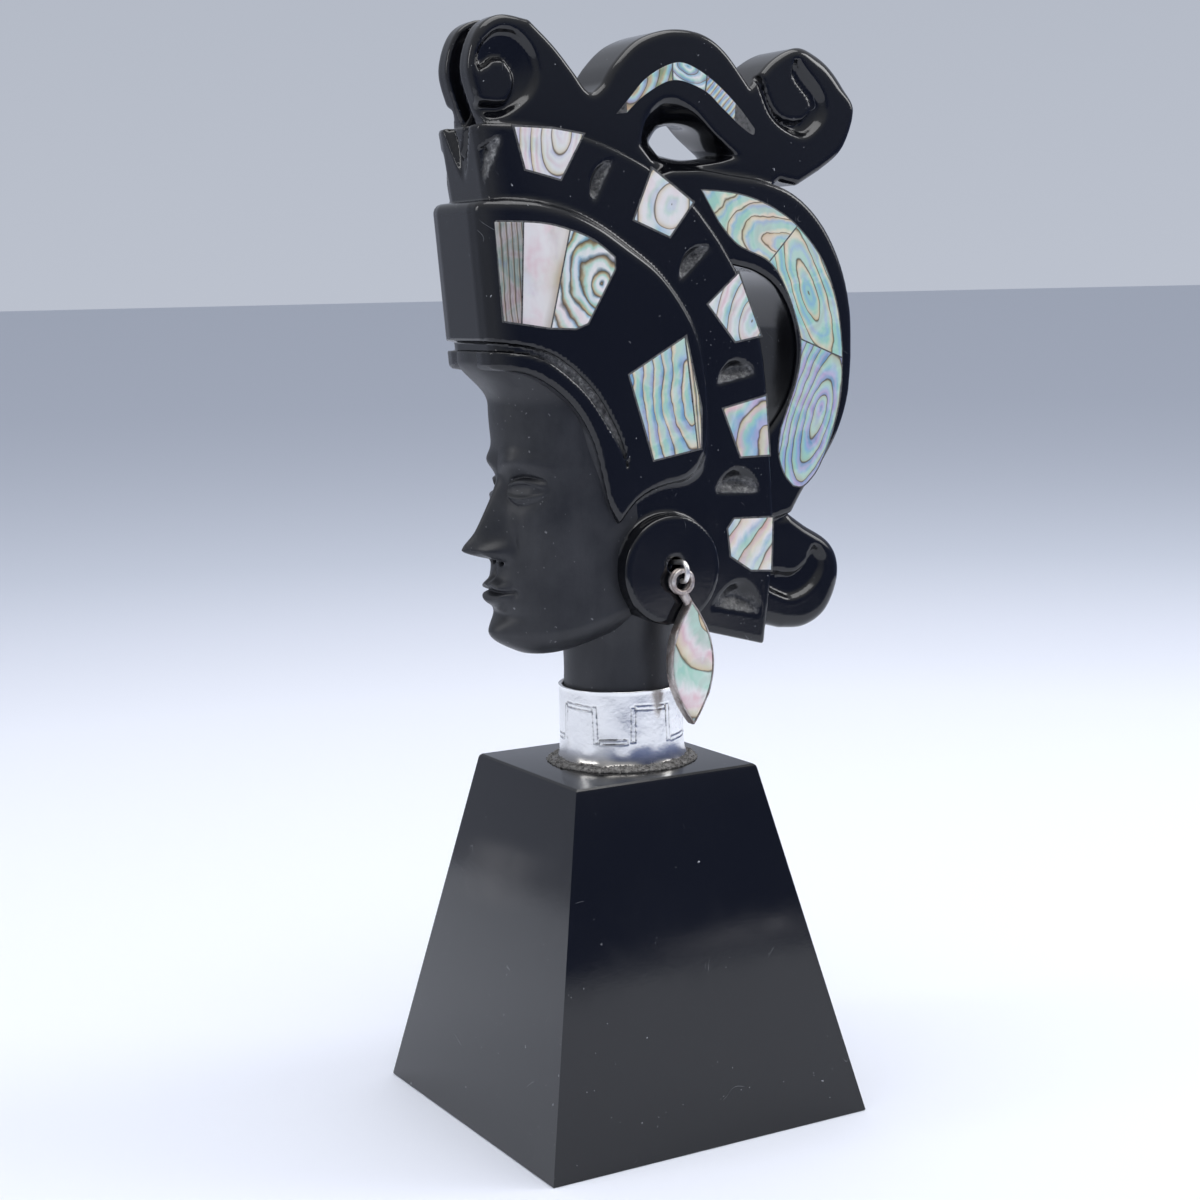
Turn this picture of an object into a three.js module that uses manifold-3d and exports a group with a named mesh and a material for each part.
// A carved black onyx head in a tall plumed headdress, on a square tapering plinth.
// The neck stands in a silver collar, shell tiles are let into both sides, and an earring hangs at each ear.
// Millimetres, +Z up. The face looks along -Y, the head's left side is +X, and both sides mirror each other.
// The origin is the middle of the plinth's underside.

import * as THREE from "three";
import { mergeVertices, toCreasedNormals } from "three/addons/utils/BufferGeometryUtils.js";
import Module from "manifold-3d";

const wasm = await Module();
wasm.setup();

// Fits
const GAP = 0.3; // air between pieces that touch
const REACH = 40; // how far a cutter runs past the work
const CURVE_STEPS = 2; // straight steps to each stretch of a smooth outline
const CREASE = 0.6; // faces that meet at a wider angle, in radians, keep a sharp edge

// Plinth
const PLINTH_FOOT = 70;
const PLINTH_TOP = 40;
const PLINTH_HEIGHT = 69;
const PLINTH_TOP_CHAMFER = 1;
const PLINTH_EDGE_CHAMFER = 0.5;

// Neck, collar and the bead of glue at its foot
const NECK_RADIUS = 11.3;
const NECK_Y = 1.6;
const NECK_TOP = 110;
const COLLAR_WALL = 0.6;
const COLLAR_FOOT = PLINTH_HEIGHT + GAP;
const COLLAR_HEIGHT = 15;
const COLLAR_FLARE = 0.7;
const COLLAR_FLARE_HEIGHT = 2.2;
const GLUE_WIDTH = 1.4;
const GLUE_HEIGHT = 1.1;
const ROUND_SIDES = 28;

// Half thicknesses of the carved slab, across the head
const ORNAMENT_HALF = 7;
const CRESCENT_HALF = 10;
const LOW_SCROLL_HALF = 9;
const BAND_HALF = 12;
const HELMET_HALF = 13.7;
const HELMET_REAR_HALF = 12.8;
const FRONT_FACET_HALF = 6.3;
const ROUNDED_EDGE = 1.2;

// Plan of the blocks that the courses of the headdress are cut from
const BLOCK = { rear: 70, flatFrom: -8, height: 160, below: 140, cornerReach: 12.4, cornerBow: 0.8 };

// The fronts lean outwards as they rise: each is set by its top edge and its slope
const TIER_FRONT = { y: -31, z: 191, lean: 0.15 };
const HELMET_FRONT = { y: -32.4, z: 177.5, lean: 0.08 };

// Ear disc and its earring
const DISC = { y: 4.8, z: 107.6, radius: 10.5, root: 6, face: 15.5, chamfer: 0.6 };
const SOCKET = { y: 5.2, z: 108.6, radius: 1.5, depth: 3.2 };
const WIRE_RADIUS = 0.5;
const RING = { x: 17, y: 5.6, z: 105.6, radius: 2.1, turnSpacing: 0.92, turns: 2 };
const DROP = { x: 15.9, y: 7.2, top: 102, length: 24.2, width: 9.6, depth: 2.4, rim: 0.55, shell: 1.3 };

// Shell tiles, and the notches and groove beside them
const TILE_THICKNESS = 1.1;
const NOTCH_DEPTH = 1.3;
const BROW_DEPTH = 1.4;

// Face: heights of its features, on the usual thirds from hairline to chin, and its depth from front to ear
const FACE = {
  top: 150,
  brow: 128.5,
  eyes: 123.6,
  noseTip: 112.6,
  noseBase: 110.4,
  mouth: 104.4,
  fold: 99.9,
  chin: 95.8,
  bottom: 92.4,
  halfWidth: 12.3,
  middleY: -6,
  depth: 18.4,
  squareness: 2.3,
};
const FACE_ROWS = 27;
const FACE_COLUMNS = 24;

const BLACK_ONYX = { color: 0x0b0c10, roughness: 0.12, metalness: 0 };
const FROSTED_ONYX = { color: 0x17181c, roughness: 0.3, metalness: 0 };
const SILVER = { color: 0xd8d8d6, roughness: 0.28, metalness: 1 };
const AGED_SILVER = { color: 0x9a8f86, roughness: 0.45, metalness: 0.9 };
const SHELL = { color: 0x9fc4b8, roughness: 0.2, metalness: 0.1 };
const GLUE = { color: 0x6d6a66, roughness: 0.7, metalness: 0 };

// Solids and meshes

function solidOf(geometry) {
  const bare = geometry.clone();
  bare.deleteAttribute("normal");
  bare.deleteAttribute("uv");
  const merged = mergeVertices(bare, 1e-4);
  const corners = merged.index.array;
  const kept = [];
  for (let i = 0; i < corners.length; i += 3) {
    const [a, b, c] = corners.subarray(i, i + 3);
    if (a !== b && b !== c && a !== c) kept.push(a, b, c);
  }
  return new wasm.Manifold(
    new wasm.Mesh({
      numProp: 3,
      vertProperties: merged.attributes.position.array,
      triVerts: new Uint32Array(kept),
    }),
  );
}

function geometryOf(solid) {
  const { vertProperties, triVerts } = solid.getMesh();
  const geometry = new THREE.BufferGeometry();
  geometry.setAttribute("position", new THREE.BufferAttribute(vertProperties, 3));
  geometry.setIndex(new THREE.BufferAttribute(triVerts, 1));
  return geometry;
}

// The same solid on the other side of the head, with its faces turned to point outwards again.
function mirrored(solid) {
  const geometry = geometryOf(solid);
  geometry.applyMatrix4(new THREE.Matrix4().makeScale(-1, 1, 1));
  const corners = geometry.index.array;
  for (let i = 0; i < corners.length; i += 3) {
    [corners[i + 1], corners[i + 2]] = [corners[i + 2], corners[i + 1]];
  }
  return solidOf(geometry);
}

function joined(solids) {
  return solids.reduce((whole, piece) => whole.add(piece));
}

function bothSides(solids) {
  return solids.flatMap((solid) => [solid, mirrored(solid)]);
}

// Outlines in the side view, as [y, z]

// Starts at a point and goes on in runs, each ["line", ...points] or ["curve", ...points].
function outline(start, ...runs) {
  const shape = new THREE.Shape();
  shape.moveTo(...start);
  for (const [kind, ...points] of runs) {
    if (kind === "curve") {
      shape.splineThru(points.map(([y, z]) => new THREE.Vector2(y, z)));
    } else {
      points.forEach(([y, z]) => shape.lineTo(y, z));
    }
  }
  shape.closePath();
  return shape;
}

// The outline moved outwards by a distance, or inwards where it is negative.
function grown(shape, distance) {
  let points = shape.getPoints(CURVE_STEPS);
  if (points[0].distanceTo(points.at(-1)) < 1e-6) points.pop();
  if (THREE.ShapeUtils.isClockWise(points)) points = points.reverse();
  const moved = points.map((point, i) => {
    const before = point.clone().sub(points.at(i - 1)).normalize();
    const after = points[(i + 1) % points.length].clone().sub(point).normalize();
    const outwards = new THREE.Vector2(before.y + after.y, -before.x - after.x);
    const stretch = Math.max(outwards.lengthSq() / 2, 0.7);
    return point.clone().addScaledVector(outwards, distance / stretch);
  });
  return new THREE.Shape(moved);
}

const SIDE_VIEW = new THREE.Matrix4().makeBasis(
  new THREE.Vector3(0, 1, 0),
  new THREE.Vector3(0, 0, 1),
  new THREE.Vector3(1, 0, 0),
);

// An outline of the side view carried across the head from x = from to x = to.
function slab(shape, from, to, edge = 0) {
  const geometry = new THREE.ExtrudeGeometry(shape, {
    depth: to - from - 2 * edge,
    curveSegments: CURVE_STEPS,
    bevelEnabled: edge > 0,
    bevelThickness: edge,
    bevelSize: edge,
    bevelOffset: -edge,
    bevelSegments: 1,
  });
  geometry.translate(0, 0, from + edge);
  geometry.applyMatrix4(SIDE_VIEW);
  return solidOf(geometry);
}

// The plan of a course of the headdress: a flat front facet, rounded corners and flat sides.
// It leans with its front, and inset draws all of it in by a distance.
function planBlock(front, half, rearHalf, inset = 0) {
  const { rear, flatFrom, height, below } = BLOCK;
  const facet = FRONT_FACET_HALF - inset * 0.4;
  const side = half - inset;
  const y = front.y + inset;
  const plan = new THREE.Shape();
  plan.moveTo(-rearHalf + inset, rear);
  plan.lineTo(-side, flatFrom);
  plan.splineThru(cornerOf(-1, facet, side, y));
  plan.lineTo(facet, y);
  plan.splineThru(cornerOf(1, facet, side, y).reverse().concat(new THREE.Vector2(side, flatFrom)));
  plan.lineTo(rearHalf - inset, rear);
  plan.closePath();
  const geometry = new THREE.ExtrudeGeometry(plan, {
    depth: height,
    curveSegments: 1,
    bevelEnabled: false,
  });
  geometry.translate(0, -front.y, -below);
  geometry.rotateX(Math.atan(front.lean));
  geometry.translate(0, front.y, front.z);
  return solidOf(geometry);
}

// Points of one rounded front corner, from the flat side round to the front facet.
function cornerOf(sign, facet, side, y) {
  const { cornerReach, cornerBow } = BLOCK;
  return [0.25, 0.5, 0.75, 1].map((t) => {
    const angle = (t * Math.PI) / 2;
    const across = facet + (side - facet) * Math.cos(angle) ** cornerBow;
    return new THREE.Vector2(sign * across, y + cornerReach * (1 - Math.sin(angle)));
  });
}

const tierBlock = (inset) => planBlock(TIER_FRONT, BAND_HALF, BAND_HALF, inset);
const helmetBlock = (inset) => planBlock(HELMET_FRONT, HELMET_HALF, HELMET_REAR_HALF, inset);

// Everything on one side of the line from p to q in the side view, kept half a gap away from it.
function leftOf(p, q) {
  const along = new THREE.Vector2(q[0] - p[0], q[1] - p[1]).normalize();
  const left = new THREE.Vector2(-along.y, along.x);
  const start = new THREE.Vector2(...p).addScaledVector(left, GAP / 2);
  const at = (forward, aside) =>
    start.clone().addScaledVector(along, forward).addScaledVector(left, aside);
  const corners = [at(-REACH, 0), at(2 * REACH, 0), at(2 * REACH, REACH), at(-REACH, REACH)];
  return slab(new THREE.Shape(corners), 0, REACH);
}

// Outlines of the carved slab

const ornamentOutline = outline(
  [-27, 189],
  ["curve", [-29.6, 195], [-31.2, 201.5], [-29, 208], [-24.5, 210.7], [-18.5, 210]],
  ["curve", [-13.5, 205.6], [-9.4, 201], [-7, 198], [-5.3, 197.4], [-3.2, 199]],
  ["curve", [-0.4, 203], [4.5, 207.2], [11.5, 209.4], [18.6, 208.9], [24, 205.8], [29.7, 199.2]],
  ["curve", [35, 204.4], [41.7, 207.1], [48, 204.8], [53, 199.4], [54.4, 194.6], [51.5, 187.6], [46, 183.4]],
  ["line", [40.4, 180.4], [36, 181.2], [30, 177], [-24, 179]],
);

const bandOutline = outline(
  [-36, 191.2],
  ["curve", [-22, 190.8], [-13.4, 189.6], [-5, 187.2], [4, 183], [12.4, 177.1], [18.8, 169.8]],
  ["curve", [23.4, 162.6], [26.8, 154.6], [28.8, 145], [29.6, 132], [30.4, 116], [29.6, 102.5], [27.8, 90.7]],
  ["line", [14.1, 94.5], [8, 97.2], [-3, 99.5], [-8, 120], [-14, 141], [-25, 150], [-36, 176]],
);

const crescentOutline = outline(
  [10, 184.4],
  ["curve", [22.3, 182.4], [31, 181.1], [38.3, 178.3], [44.4, 172.8], [48.8, 165], [51.1, 156], [51.3, 146.5]],
  ["curve", [50.4, 138.6], [47.6, 131.2], [43.2, 124.8], [39.4, 120.6], [36.3, 116]],
  ["line", [28, 114], [28, 129], [30.4, 132.4]],
  ["curve", [34.3, 137], [36.9, 142.4], [37.8, 148.6], [36.6, 155], [33.4, 160.4], [28.6, 163.6], [23.6, 164.9]],
  ["line", [18, 166], [4, 180]],
);

const lowScrollOutline = outline(
  [36.6, 116],
  ["curve", [40.6, 113.2], [46.4, 109.6], [48.8, 105.4], [48.4, 100.2], [45.4, 95], [40.4, 92.5], [34.6, 92.7]],
  ["line", [28, 94.6], [26, 104], [27, 116]],
);

const helmetOutline = outline(
  [-36, 177.2],
  ["line", [-27, 177.6]],
  ["curve", [-20.5, 177], [-14, 175.4], [-7.5, 172.4], [-2, 168.8], [3.8, 164.4], [8.2, 159.4], [11.4, 154.6]],
  ["curve", [13.4, 149.4], [14.5, 142], [14.8, 134], [14.6, 129]],
  ["curve", [13, 126], [9.5, 124.4], [4, 123.6], [-1.4, 121.2], [-5.4, 117]],
  ["curve", [-7.6, 120.8], [-8.8, 126], [-10.6, 132.6], [-14.2, 138.8], [-19.6, 143.6], [-25.5, 146.2], [-36, 147.2]],
);

const browGroove = outline(
  [-40, 152.2],
  ["line", [-30, 152]],
  ["curve", [-22.8, 150.7], [-17.2, 148.3], [-11, 143], [-6.8, 136.8], [-4.4, 131.4], [-3.2, 125.8]],
  ["curve", [-5, 131], [-8, 136], [-12, 141.6], [-17.8, 146.6], [-23, 149.2], [-30, 150.2]],
  ["line", [-40, 150.2]],
);

// Openings through the slab, and the curls carved on its sides

const holeAtWaist = outline(
  [9.8, 188.6],
  ["curve", [11.9, 191.2], [15, 192], [18.6, 191.4], [21.6, 189.4], [23.2, 187], [22.4, 185.9], [16, 185.6], [11, 186.6]],
);

const holeAtFace = outline(
  [4.1, 187.6],
  ["curve", [5.4, 192.8], [8.6, 195.8], [12, 196.4], [16.4, 194.4], [21, 190], [26.6, 185.8]],
  ["curve", [20.6, 184.5], [13.6, 184], [7, 184.5]],
);

// A closed barrel of count columns and a number of rows, whose points are set one by one from
// their column, their height from 0 to 1, and their reach: 1 on the wall, 0 in the middle of an end.
function barrel(count, rows, pointAt) {
  const geometry = new THREE.CylinderGeometry(1, 1, 1, count, rows);
  const places = geometry.attributes.position;
  for (let i = 0; i < places.count; i += 1) {
    const reach = Math.round(Math.hypot(places.getX(i), places.getZ(i)));
    const turn = Math.atan2(places.getX(i), places.getZ(i)) / (2 * Math.PI);
    const column = (Math.round(turn * count) + count) % count;
    places.setXYZ(i, ...pointAt(column, places.getY(i) + 0.5, reach));
  }
  return geometry;
}

// A funnel cut from one side face to the middle of the slab, from the wide mouth to the narrow waist.
function holeHalf() {
  const count = 20;
  const ringOf = (shape) => shape.getSpacedPoints(count).slice(0, count).reverse();
  const waist = ringOf(holeAtWaist);
  const mouth = ringOf(holeAtFace);
  const middle = new THREE.Vector2(16, 188.5);
  const depth = ORNAMENT_HALF + 0.5;
  const overlap = 0.01;
  const flare = 1.6;
  const geometry = barrel(count, 2, (column, height, reach) => {
    const place = waist[column].clone().lerp(mouth[column], height ** flare);
    place.lerp(middle, 1 - reach);
    return [depth * height - overlap, place.x, place.y];
  });
  return solidOf(geometry);
}

const CURLS = [
  { y: -24.4, z: 200.4, face: ORNAMENT_HALF, outer: 7.2, inner: 1.6, from: -2.6, turns: 1.35, spin: 1 },
  { y: 40.6, z: 197.4, face: ORNAMENT_HALF, outer: 8.2, inner: 1.8, from: 2.9, turns: 1.3, spin: 1 },
  { y: 38.6, z: 104.2, face: LOW_SCROLL_HALF, outer: 7, inner: 1.6, from: 2.6, turns: 1.3, spin: 1 },
];
const CURL_GROOVE = 1.2;
const FRONT_GROOVE = 1.8;

// A round-bottomed channel that winds in to the middle of a scroll.
function curlCutter({ y, z, face, outer, inner, from, turns, spin }) {
  const count = 12;
  const points = Array.from({ length: count + 1 }, (_, i) => {
    const t = i / count;
    const angle = from + spin * t * turns * 2 * Math.PI;
    const radius = outer + (inner - outer) * t ** 0.8;
    return new THREE.Vector3(face, y + radius * Math.cos(angle), z + radius * Math.sin(angle));
  });
  return tube(points, CURL_GROOVE, 5, count + 2);
}

// A round bar along a smooth path.
function tube(points, radius, sides, steps) {
  const section = new THREE.Shape();
  for (let i = 0; i < sides; i += 1) {
    const angle = (i / sides) * 2 * Math.PI;
    const corner = [radius * Math.cos(angle), radius * Math.sin(angle)];
    if (i === 0) section.moveTo(...corner);
    else section.lineTo(...corner);
  }
  section.closePath();
  const extrudePath = new THREE.CatmullRomCurve3(points);
  return solidOf(new THREE.ExtrudeGeometry(section, { steps, extrudePath, bevelEnabled: false }));
}

// The groove that parts the two rims of the front scroll, along its front edge.
function frontScrollGroove() {
  const points = [
    [-21, 211.6],
    [-26.5, 210.6],
    [-30.4, 206.4],
    [-31.6, 201],
    [-30.2, 195.4],
    [-28.8, 192.2],
  ].map(([y, z]) => new THREE.Vector3(0, y, z));
  return tube(points, FRONT_GROOVE, 4, 12);
}

// Half-moon notches in the band: a straight edge from p to q, and a round edge that rises by a height.
const NOTCHES = [
  { p: [-29.6, 180.2], q: [-27, 188.8], rise: 2.4 },
  { p: [-8.7, 177.1], q: [-4.8, 184.4], rise: 2.6 },
  { p: [9.6, 162.3], q: [16.4, 168.5], rise: 2.8 },
  { p: [17.5, 142.4], q: [26.4, 144.2], rise: 3.6 },
  { p: [16.6, 121.4], q: [27, 121], rise: 4.6 },
  { p: [16, 99.3], q: [26.8, 96.8], rise: 5.6 },
];

function notchCutter({ p, q, rise }) {
  const start = new THREE.Vector2(...p);
  const end = new THREE.Vector2(...q);
  const chord = end.clone().sub(start);
  const up = new THREE.Vector2(-chord.y, chord.x).normalize();
  const count = 5;
  const points = Array.from({ length: count + 1 }, (_, i) => {
    const t = i / count;
    return start.clone().addScaledVector(chord, t).addScaledVector(up, rise * Math.sin(Math.PI * t) ** 0.7);
  });
  return slab(new THREE.Shape(points), FRONT_FACET_HALF + 1, REACH).subtract(tierBlock(NOTCH_DEPTH));
}

// The pointed leaf on the front of the upper tier: two V grooves one inside the other.
const LEAF_ARMS = [
  { half: 6.1, tip: 179.6, width: 0.9 },
  { half: 3.3, tip: 184.4, width: 0.8 },
];
const LEAF = { top: 192.5, behind: -25, cut: 12, depth: 0.8 };

function leafGrooves() {
  const { top, behind, cut, depth } = LEAF;
  const cuts = LEAF_ARMS.map(({ half, tip, width }) => {
    const shape = new THREE.Shape();
    shape.moveTo(-half, top);
    shape.lineTo(0, tip);
    shape.lineTo(half, top);
    shape.lineTo(half - width, top);
    shape.lineTo(0, tip + 2.2 * width);
    shape.lineTo(width - half, top);
    shape.closePath();
    const geometry = new THREE.ExtrudeGeometry(shape, { depth: cut, bevelEnabled: false });
    geometry.rotateX(Math.PI / 2);
    return solidOf(geometry.translate(0, behind, 0));
  });
  return joined(cuts).subtract(tierBlock(depth));
}

// Face and neck

const bump = (value, centre, spread) => Math.exp(-(((value - centre) / spread) ** 2));

// How far the face stands out in front of its plain rounded block, at a place across and up.
function faceRelief(x, z) {
  const aside = Math.abs(x);
  const bridge = THREE.MathUtils.clamp((FACE.eyes + 2.2 - z) / (FACE.eyes + 2.2 - FACE.noseTip), 0, 1);
  const under = THREE.MathUtils.clamp((FACE.noseTip - z) / (FACE.noseTip - FACE.noseBase + 0.6), 0, 1);
  const nose = 7.4 * bridge ** 1.2 * (1 - under ** 2) * bump(x, 0, 1.5 + 1.2 * bridge);
  const wings = 2.4 * bump(aside, 3.1, 1.4) * bump(z, FACE.noseTip - 0.3, 1.7);
  const brow = 1.1 * bump(z, FACE.brow, 2.2) * bump(aside, 4, 4.5);
  const socket = -2 * bump(aside, 5.6, 2.8) * bump(z, FACE.eyes + 0.6, 2.5);
  const eye = 1.4 * bump(aside, 5.9, 2.1) * bump(z, FACE.eyes, 1.4);
  const upperLip = 2 * bump(x, 0, 4.3) * bump(z, FACE.mouth + 2, 1.5);
  const lowerLip = 1.9 * bump(x, 0, 3.9) * bump(z, FACE.mouth - 1.9, 1.3);
  const parting = -1 * bump(x, 0, 5) * bump(z, FACE.mouth, 0.6);
  const fold = -0.8 * bump(x, 0, 5) * bump(z, FACE.fold, 1.4);
  const chin = 1.5 * bump(x, 0, 4.8) * bump(z, FACE.chin, 2.8);
  const cheek = 0.8 * bump(aside, 8, 3) * bump(z, 116, 5);
  return nose + wings + brow + socket + eye + upperLip + lowerLip + parting + fold + chin + cheek;
}

// The face's plain block is drawn in under the chin, and a little at the temples.
function faceShrink(z) {
  const under = THREE.MathUtils.clamp((FACE.bottom + 4 - z) / 4, 0, 1);
  return Math.sqrt(1 - 0.28 * under ** 2) * (1 - 0.03 * bump(z, FACE.brow + 4, 8));
}

// Turns the diagonals of the barrel's panels round on one half, so that the two halves mirror each other.
function mirrorPanels(geometry, count, rows) {
  const corners = geometry.index.array;
  for (let column = 0; column < count; column += 1) {
    if (column < count / 2) continue;
    for (let row = 0; row < rows; row += 1) {
      const at = 6 * (column * rows + row);
      const [a, b, d, , c] = corners.subarray(at, at + 6);
      corners.set([a, b, c, a, c, d], at);
    }
  }
}

// Columns lie closer together at the front, where the nose and lips are.
function faceSolid() {
  const geometry = barrel(FACE_COLUMNS, FACE_ROWS, (column, height, reach) => {
    const turn = (2 * column) / FACE_COLUMNS - (column > FACE_COLUMNS / 2 ? 2 : 0);
    const angle = Math.PI * (0.3 * turn + 0.7 * turn ** 3);
    const z = THREE.MathUtils.lerp(FACE.bottom, FACE.top, height);
    const across = Math.abs(Math.sin(angle) / FACE.halfWidth) ** FACE.squareness;
    const along = Math.abs(Math.cos(angle) / FACE.depth) ** FACE.squareness;
    const radius = reach * faceShrink(z) * (across + along) ** (-1 / FACE.squareness);
    const facing = Math.max(Math.cos(angle), 0) * reach;
    const x = radius * Math.sin(angle);
    const relief = faceRelief(x, z) * Math.min(1, 3 * facing);
    return [x, FACE.middleY - radius * Math.cos(angle) - relief, z];
  });
  mirrorPanels(geometry, FACE_COLUMNS, FACE_ROWS);
  return solidOf(geometry);
}

// A profile turned about the upright axis.
function turned(profile, sides) {
  const points = profile.map(([radius, height]) => new THREE.Vector2(radius, height));
  return new THREE.LatheGeometry(points, sides).rotateX(Math.PI / 2);
}

function neckSolid() {
  const profile = [
    [0, COLLAR_FOOT],
    [NECK_RADIUS, COLLAR_FOOT],
    [NECK_RADIUS, NECK_TOP],
    [0, NECK_TOP],
  ];
  return solidOf(turned(profile, ROUND_SIDES).translate(0, NECK_Y, 0));
}

function discSolid() {
  const { radius, root, face, chamfer } = DISC;
  const profile = [
    [0, root],
    [radius, root],
    [radius, face - chamfer],
    [radius - chamfer, face],
    [0, face],
  ];
  const geometry = turned(profile, ROUND_SIDES).rotateY(Math.PI / 2);
  return solidOf(geometry.translate(0, DISC.y, DISC.z));
}

function socketCutter() {
  const profile = [
    [0, DISC.face - SOCKET.depth],
    [SOCKET.radius, DISC.face - SOCKET.depth],
    [SOCKET.radius, DISC.face + 1],
    [0, DISC.face + 1],
  ];
  return solidOf(turned(profile, 16).rotateY(Math.PI / 2).translate(0, SOCKET.y, SOCKET.z));
}

// Shell tiles. Each has an outline, and a face that it is flush with.

const tierTile = { block: tierBlock };
const helmetTile = { block: helmetBlock };

const BAND_TILES = [
  outline([-24.8, 190.4], ["line", [-22.8, 182.8], [-15.8, 181], [-10.8, 189.4]]),
  outline([3.8, 183.1], ["line", [-0.4, 173.7], [7.4, 170.5], [12.7, 176.9]]),
  outline([22.8, 163.5], ["line", [15.7, 157.7], [21.8, 150.4], [27.8, 151.4]]),
  outline([29.3, 139.7], ["line", [18.8, 137.6], [22.7, 128.1], [29.8, 128.1]]),
  outline([30.4, 115.8], ["line", [21, 116.1], [19.5, 114.3], [20.1, 108.8], [24.8, 105.7], [29.9, 105.3]]),
];

const PLAQUE = outline(
  [-29.4, 173.5],
  ["line", [-28, 155.6], [-20, 154.2], [-14.3, 153.9], [-11.7, 154.8], [-5.7, 164.6], [-5.7, 166.8]],
  ["curve", [-10, 169.9], [-15.2, 171.9], [-21, 173.1], [-29.4, 173.5]],
);
const PLAQUE_JOINTS = [
  [[-25, 155], [-24.4, 173]],
  [[-19.5, 154], [-15, 172]],
];

const SIDE_PLAQUE = outline([-3.1, 145], ["line", [2, 128.7], [12.7, 130.4], [12.9, 138.1], [9.7, 151.8]]);
const SIDE_PLAQUE_JOINT = [[12, 130], [9.4, 152]];

const WAVE_CHANNEL = outline(
  [-0.9, 193.4],
  ["curve", [1.6, 196], [5.8, 200.2], [11, 202.9], [15, 203.1], [20.6, 200.3], [26.2, 195.7], [30.3, 191.2]],
  ["curve", [29.8, 190], [26.7, 191.8], [22.6, 195.1], [18.6, 198.2], [12, 199.9], [5.8, 197.2], [1.4, 193.6]],
);
const WAVE_JOINTS = [
  [[1.4, 193], [1.2, 198]],
  [[11.7, 198], [11.7, 204]],
  [[18.8, 197], [19.6, 202]],
  [[25.4, 190], [26.4, 200]],
];

const ARC = outline(
  [15.9, 179.3],
  ["curve", [22, 178.9], [27.5, 177.8], [33, 175.6], [38.2, 172.2], [44, 165.6], [47.4, 156.9], [48.6, 148.3]],
  ["curve", [48.2, 139.6], [46, 131.6], [42.8, 125.2], [40.4, 122.4], [38.4, 121.2], [36.4, 121.5]],
  ["curve", [34.2, 124.2], [33, 128.4], [33.6, 133]],
  ["curve", [37.4, 142], [38.6, 148], [38, 153], [35.2, 160.3], [31.3, 165.6], [24, 169], [19.7, 173.3]],
);
const ARC_JOINTS = [
  [[31.3, 165.6], [38.2, 172.6]],
  [[38.6, 150.4], [48.8, 146.3]],
];

// The stretch of a shape between two joint lines, or past the only one given.
function stretches(whole, joints, ends) {
  const count = joints.length + 1;
  const pieces = Array.from({ length: count }, (_, i) => {
    let piece = whole;
    if (i > 0) piece = piece.intersect(leftOf(joints[i - 1][1], joints[i - 1][0]));
    if (i < count - 1) piece = piece.intersect(leftOf(joints[i][0], joints[i][1]));
    return piece;
  });
  return ends === "empty" ? pieces.slice(1, -1) : pieces;
}

// A tile let into a rounded block follows the block's surface.
function tileIn({ block }, shape) {
  return slab(shape, 0, REACH).intersect(block(0)).subtract(block(TILE_THICKNESS));
}

function pocketIn({ block }, shape) {
  return slab(grown(shape, GAP), 0, REACH).subtract(block(TILE_THICKNESS + GAP));
}

function tileOn(half, shape) {
  return slab(shape, half - TILE_THICKNESS, half);
}

function pocketOn(half, shape) {
  return slab(grown(shape, GAP), half - TILE_THICKNESS - GAP, half + 1);
}

function shellTiles() {
  const named = {};
  BAND_TILES.forEach((shape, i) => {
    named[`band_tile_${i + 1}`] = tileIn(tierTile, shape).intersect(slab(bandOutline, 0, REACH));
  });
  const plaque = stretches(tileIn(helmetTile, PLAQUE), PLAQUE_JOINTS);
  ["striped", "pearl", "abalone"].forEach((kind, i) => {
    named[`front_plaque_${kind}`] = plaque[i];
  });
  const [main, strip] = stretches(tileIn(helmetTile, SIDE_PLAQUE), [SIDE_PLAQUE_JOINT]);
  named.side_plaque = main;
  named.side_plaque_strip = strip;
  stretches(tileOn(ORNAMENT_HALF, WAVE_CHANNEL), WAVE_JOINTS, "empty").forEach((tile, i) => {
    named[`wave_tile_${i + 1}`] = tile;
  });
  stretches(tileOn(CRESCENT_HALF, ARC), ARC_JOINTS).forEach((tile, i) => {
    named[`crescent_tile_${i + 1}`] = tile;
  });
  return named;
}

function pockets() {
  return [
    ...BAND_TILES.map((shape) => pocketIn(tierTile, shape)),
    pocketIn(helmetTile, PLAQUE),
    pocketIn(helmetTile, SIDE_PLAQUE),
    pocketOn(ORNAMENT_HALF, WAVE_CHANNEL),
    pocketOn(CRESCENT_HALF, ARC),
  ];
}

// The whole carved head

function headSolid() {
  const ornament = slab(ornamentOutline, -ORNAMENT_HALF, ORNAMENT_HALF, ROUNDED_EDGE);
  const crescent = slab(crescentOutline, -CRESCENT_HALF, CRESCENT_HALF, ROUNDED_EDGE);
  const lowScroll = slab(lowScrollOutline, -LOW_SCROLL_HALF, LOW_SCROLL_HALF, ROUNDED_EDGE);
  const band = slab(bandOutline, -REACH, REACH).intersect(tierBlock(0));
  const helmet = slab(helmetOutline, -REACH, REACH).intersect(helmetBlock(0));
  const disc = discSolid();
  const plain = joined([
    ornament,
    crescent,
    lowScroll,
    band,
    helmet,
    faceSolid(),
    neckSolid(),
    disc,
    mirrored(disc),
  ]);
  const groove = slab(browGroove, 0, REACH).subtract(helmetBlock(BROW_DEPTH));
  const cuts = bothSides([
    holeHalf(),
    groove,
    socketCutter(),
    ...CURLS.map(curlCutter),
    ...NOTCHES.map(notchCutter),
    ...pockets(),
  ]);
  return plain.subtract(joined([...cuts, frontScrollGroove(), leafGrooves()]));
}

// Plinth, collar and glue

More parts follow.
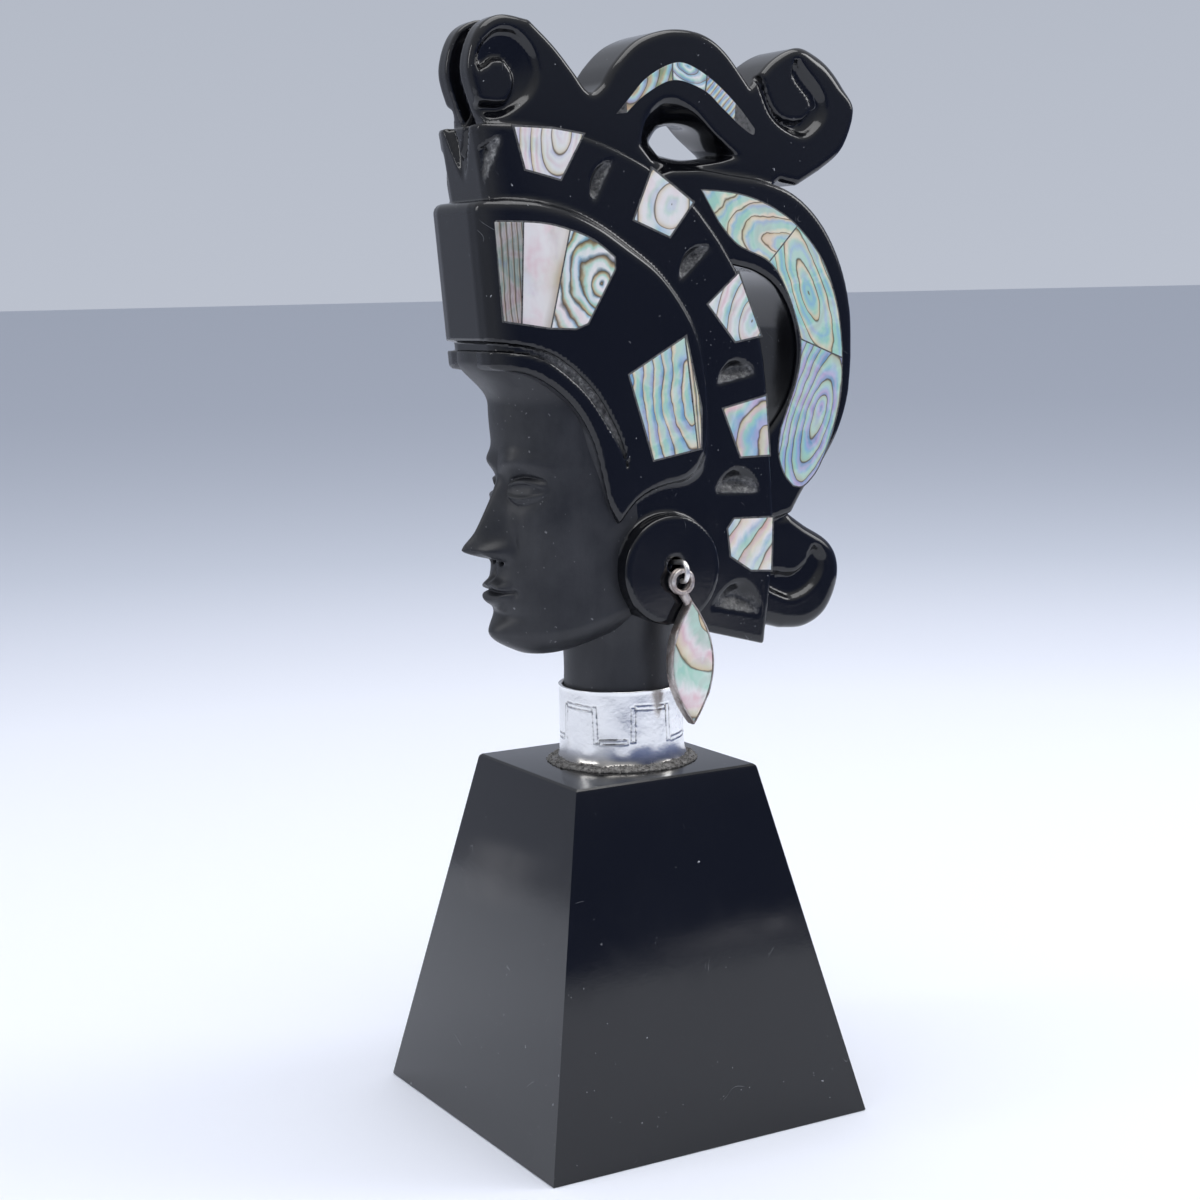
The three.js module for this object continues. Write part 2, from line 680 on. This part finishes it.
function plinthSolid() {
  const foot = PLINTH_FOOT / 2;
  const top = PLINTH_TOP / 2;
  const four = (atTop, atFoot, turn) => {
    const geometry = new THREE.CylinderGeometry(
      atTop * Math.SQRT2,
      atFoot * Math.SQRT2,
      PLINTH_HEIGHT,
      4,
    );
    geometry.rotateX(Math.PI / 2).rotateZ(turn);
    return solidOf(geometry.translate(0, 0, PLINTH_HEIGHT / 2));
  };
  const body = four(top, foot, Math.PI / 4);
  const corners = four(
    top * Math.SQRT2 - PLINTH_EDGE_CHAMFER,
    foot * Math.SQRT2 - PLINTH_EDGE_CHAMFER,
    0,
  );
  const topInset = top - PLINTH_TOP_CHAMFER;
  const topEdge = four(topInset, topInset + PLINTH_HEIGHT, Math.PI / 4);
  return body.intersect(corners).intersect(topEdge);
}

function collarSolid() {
  const inner = NECK_RADIUS + GAP;
  const outer = inner + COLLAR_WALL;
  const top = COLLAR_FOOT + COLLAR_HEIGHT;
  const bend = COLLAR_FOOT + COLLAR_FLARE_HEIGHT;
  const profile = [
    [inner + COLLAR_FLARE, COLLAR_FOOT],
    [outer + COLLAR_FLARE, COLLAR_FOOT],
    [outer, bend],
    [outer, top],
    [inner, top],
    [inner, bend],
    [inner + COLLAR_FLARE, COLLAR_FOOT],
  ];
  return solidOf(turned(profile, ROUND_SIDES).translate(0, NECK_Y, 0));
}

function glueSolid() {
  const inner = NECK_RADIUS + 2 * GAP + COLLAR_WALL + COLLAR_FLARE;
  const outer = inner + GLUE_WIDTH;
  const profile = [
    [inner, COLLAR_FOOT],
    [outer, COLLAR_FOOT],
    [outer - GLUE_WIDTH / 3, COLLAR_FOOT + GLUE_HEIGHT * 0.7],
    [inner, COLLAR_FOOT + GLUE_HEIGHT],
    [inner, COLLAR_FOOT],
  ];
  return solidOf(turned(profile, 24).translate(0, NECK_Y, 0));
}

// Earring: a wire hook in the disc, a double ring soldered to a leaf-shaped bezel, and the shell in it

function hookSolid() {
  const { y, z } = SOCKET;
  const back = DISC.face - SOCKET.depth + GAP + WIRE_RADIUS;
  const over = RING.z + RING.radius + 2 * WIRE_RADIUS + 2 * GAP;
  const front = RING.x + RING.turnSpacing / 2 + 2 * WIRE_RADIUS + 2 * GAP;
  const points = [
    [back, y, z + 0.3],
    [DISC.face + 0.4, y + 0.2, over - 0.1],
    [front - 1.2, RING.y, over],
    [front - 0.1, RING.y, over - 1],
    [front, RING.y, over - 2.4],
    [front - 0.7, RING.y, RING.z + 0.3],
    [RING.x, RING.y, RING.z + 0.1],
  ].map((point) => new THREE.Vector3(...point));
  return tube(points, WIRE_RADIUS, 5, 12);
}

function leafShape(inset) {
  const half = DROP.length / 2 - inset * 1.6;
  const side = DROP.width / 2 - inset;
  const shape = new THREE.Shape();
  shape.moveTo(0, half);
  shape.splineThru([0.5, 0, -0.5].map((t) => new THREE.Vector2(-side * (1 - t * t), half * t)));
  shape.lineTo(0, -half);
  shape.splineThru([-0.5, 0, 0.5].map((t) => new THREE.Vector2(side * (1 - t * t), half * t)));
  shape.closePath();
  return shape;
}

function leafSlab(inset, from, to) {
  const geometry = new THREE.ExtrudeGeometry(leafShape(inset), {
    depth: to - from,
    curveSegments: 2,
    bevelEnabled: false,
  });
  geometry.translate(0, 0, from).applyMatrix4(SIDE_VIEW);
  return solidOf(geometry.translate(0, DROP.y, DROP.top - DROP.length / 2));
}

function ringSolid() {
  const first = RING.x - RING.turnSpacing / 2;
  const turns = Array.from({ length: RING.turns }, (_, i) => {
    const geometry = new THREE.TorusGeometry(RING.radius, WIRE_RADIUS + 0.08, 4, 12);
    geometry.rotateY(Math.PI / 2);
    return solidOf(geometry.translate(first + i * RING.turnSpacing, RING.y, RING.z));
  });
  return joined(turns);
}

function bezelSolid() {
  const { x, depth, rim, shell } = DROP;
  const face = x + depth;
  const leaf = leafSlab(0, x, face).subtract(leafSlab(rim, face - shell - GAP, face + 1));
  const neck = tube(
    [
      new THREE.Vector3(RING.x, RING.y + 0.3, RING.z - RING.radius - 0.1),
      new THREE.Vector3(x + depth / 2, DROP.y - 0.2, DROP.top - 2.2),
    ],
    0.8,
    6,
    2,
  );
  return joined([leaf, neck.subtract(leafSlab(rim, face - shell - GAP, face + 1)), ringSolid()]);
}

function shellLeafSolid() {
  const face = DROP.x + DROP.depth;
  return leafSlab(DROP.rim + GAP, face - DROP.shell, face);
}

// Assembly

const group = new THREE.Group();

function place(name, solid, finish) {
  const geometry = toCreasedNormals(geometryOf(solid), CREASE);
  const mesh = new THREE.Mesh(geometry, new THREE.MeshStandardMaterial(finish));
  mesh.name = name;
  group.add(mesh);
}

function placePair(name, solid, finish) {
  place(`${name}_left`, solid, finish);
  place(`${name}_right`, mirrored(solid), finish);
}

place("plinth", plinthSolid(), BLACK_ONYX);
place("head", headSolid(), FROSTED_ONYX);
place("collar", collarSolid(), SILVER);
place("glue_bead", glueSolid(), GLUE);
Object.entries(shellTiles()).forEach(([name, solid]) => placePair(name, solid, SHELL));
placePair("earring_hook", hookSolid(), SILVER);
placePair("earring_bezel", bezelSolid(), AGED_SILVER);
placePair("earring_shell", shellLeafSolid(), SHELL);

export default group;
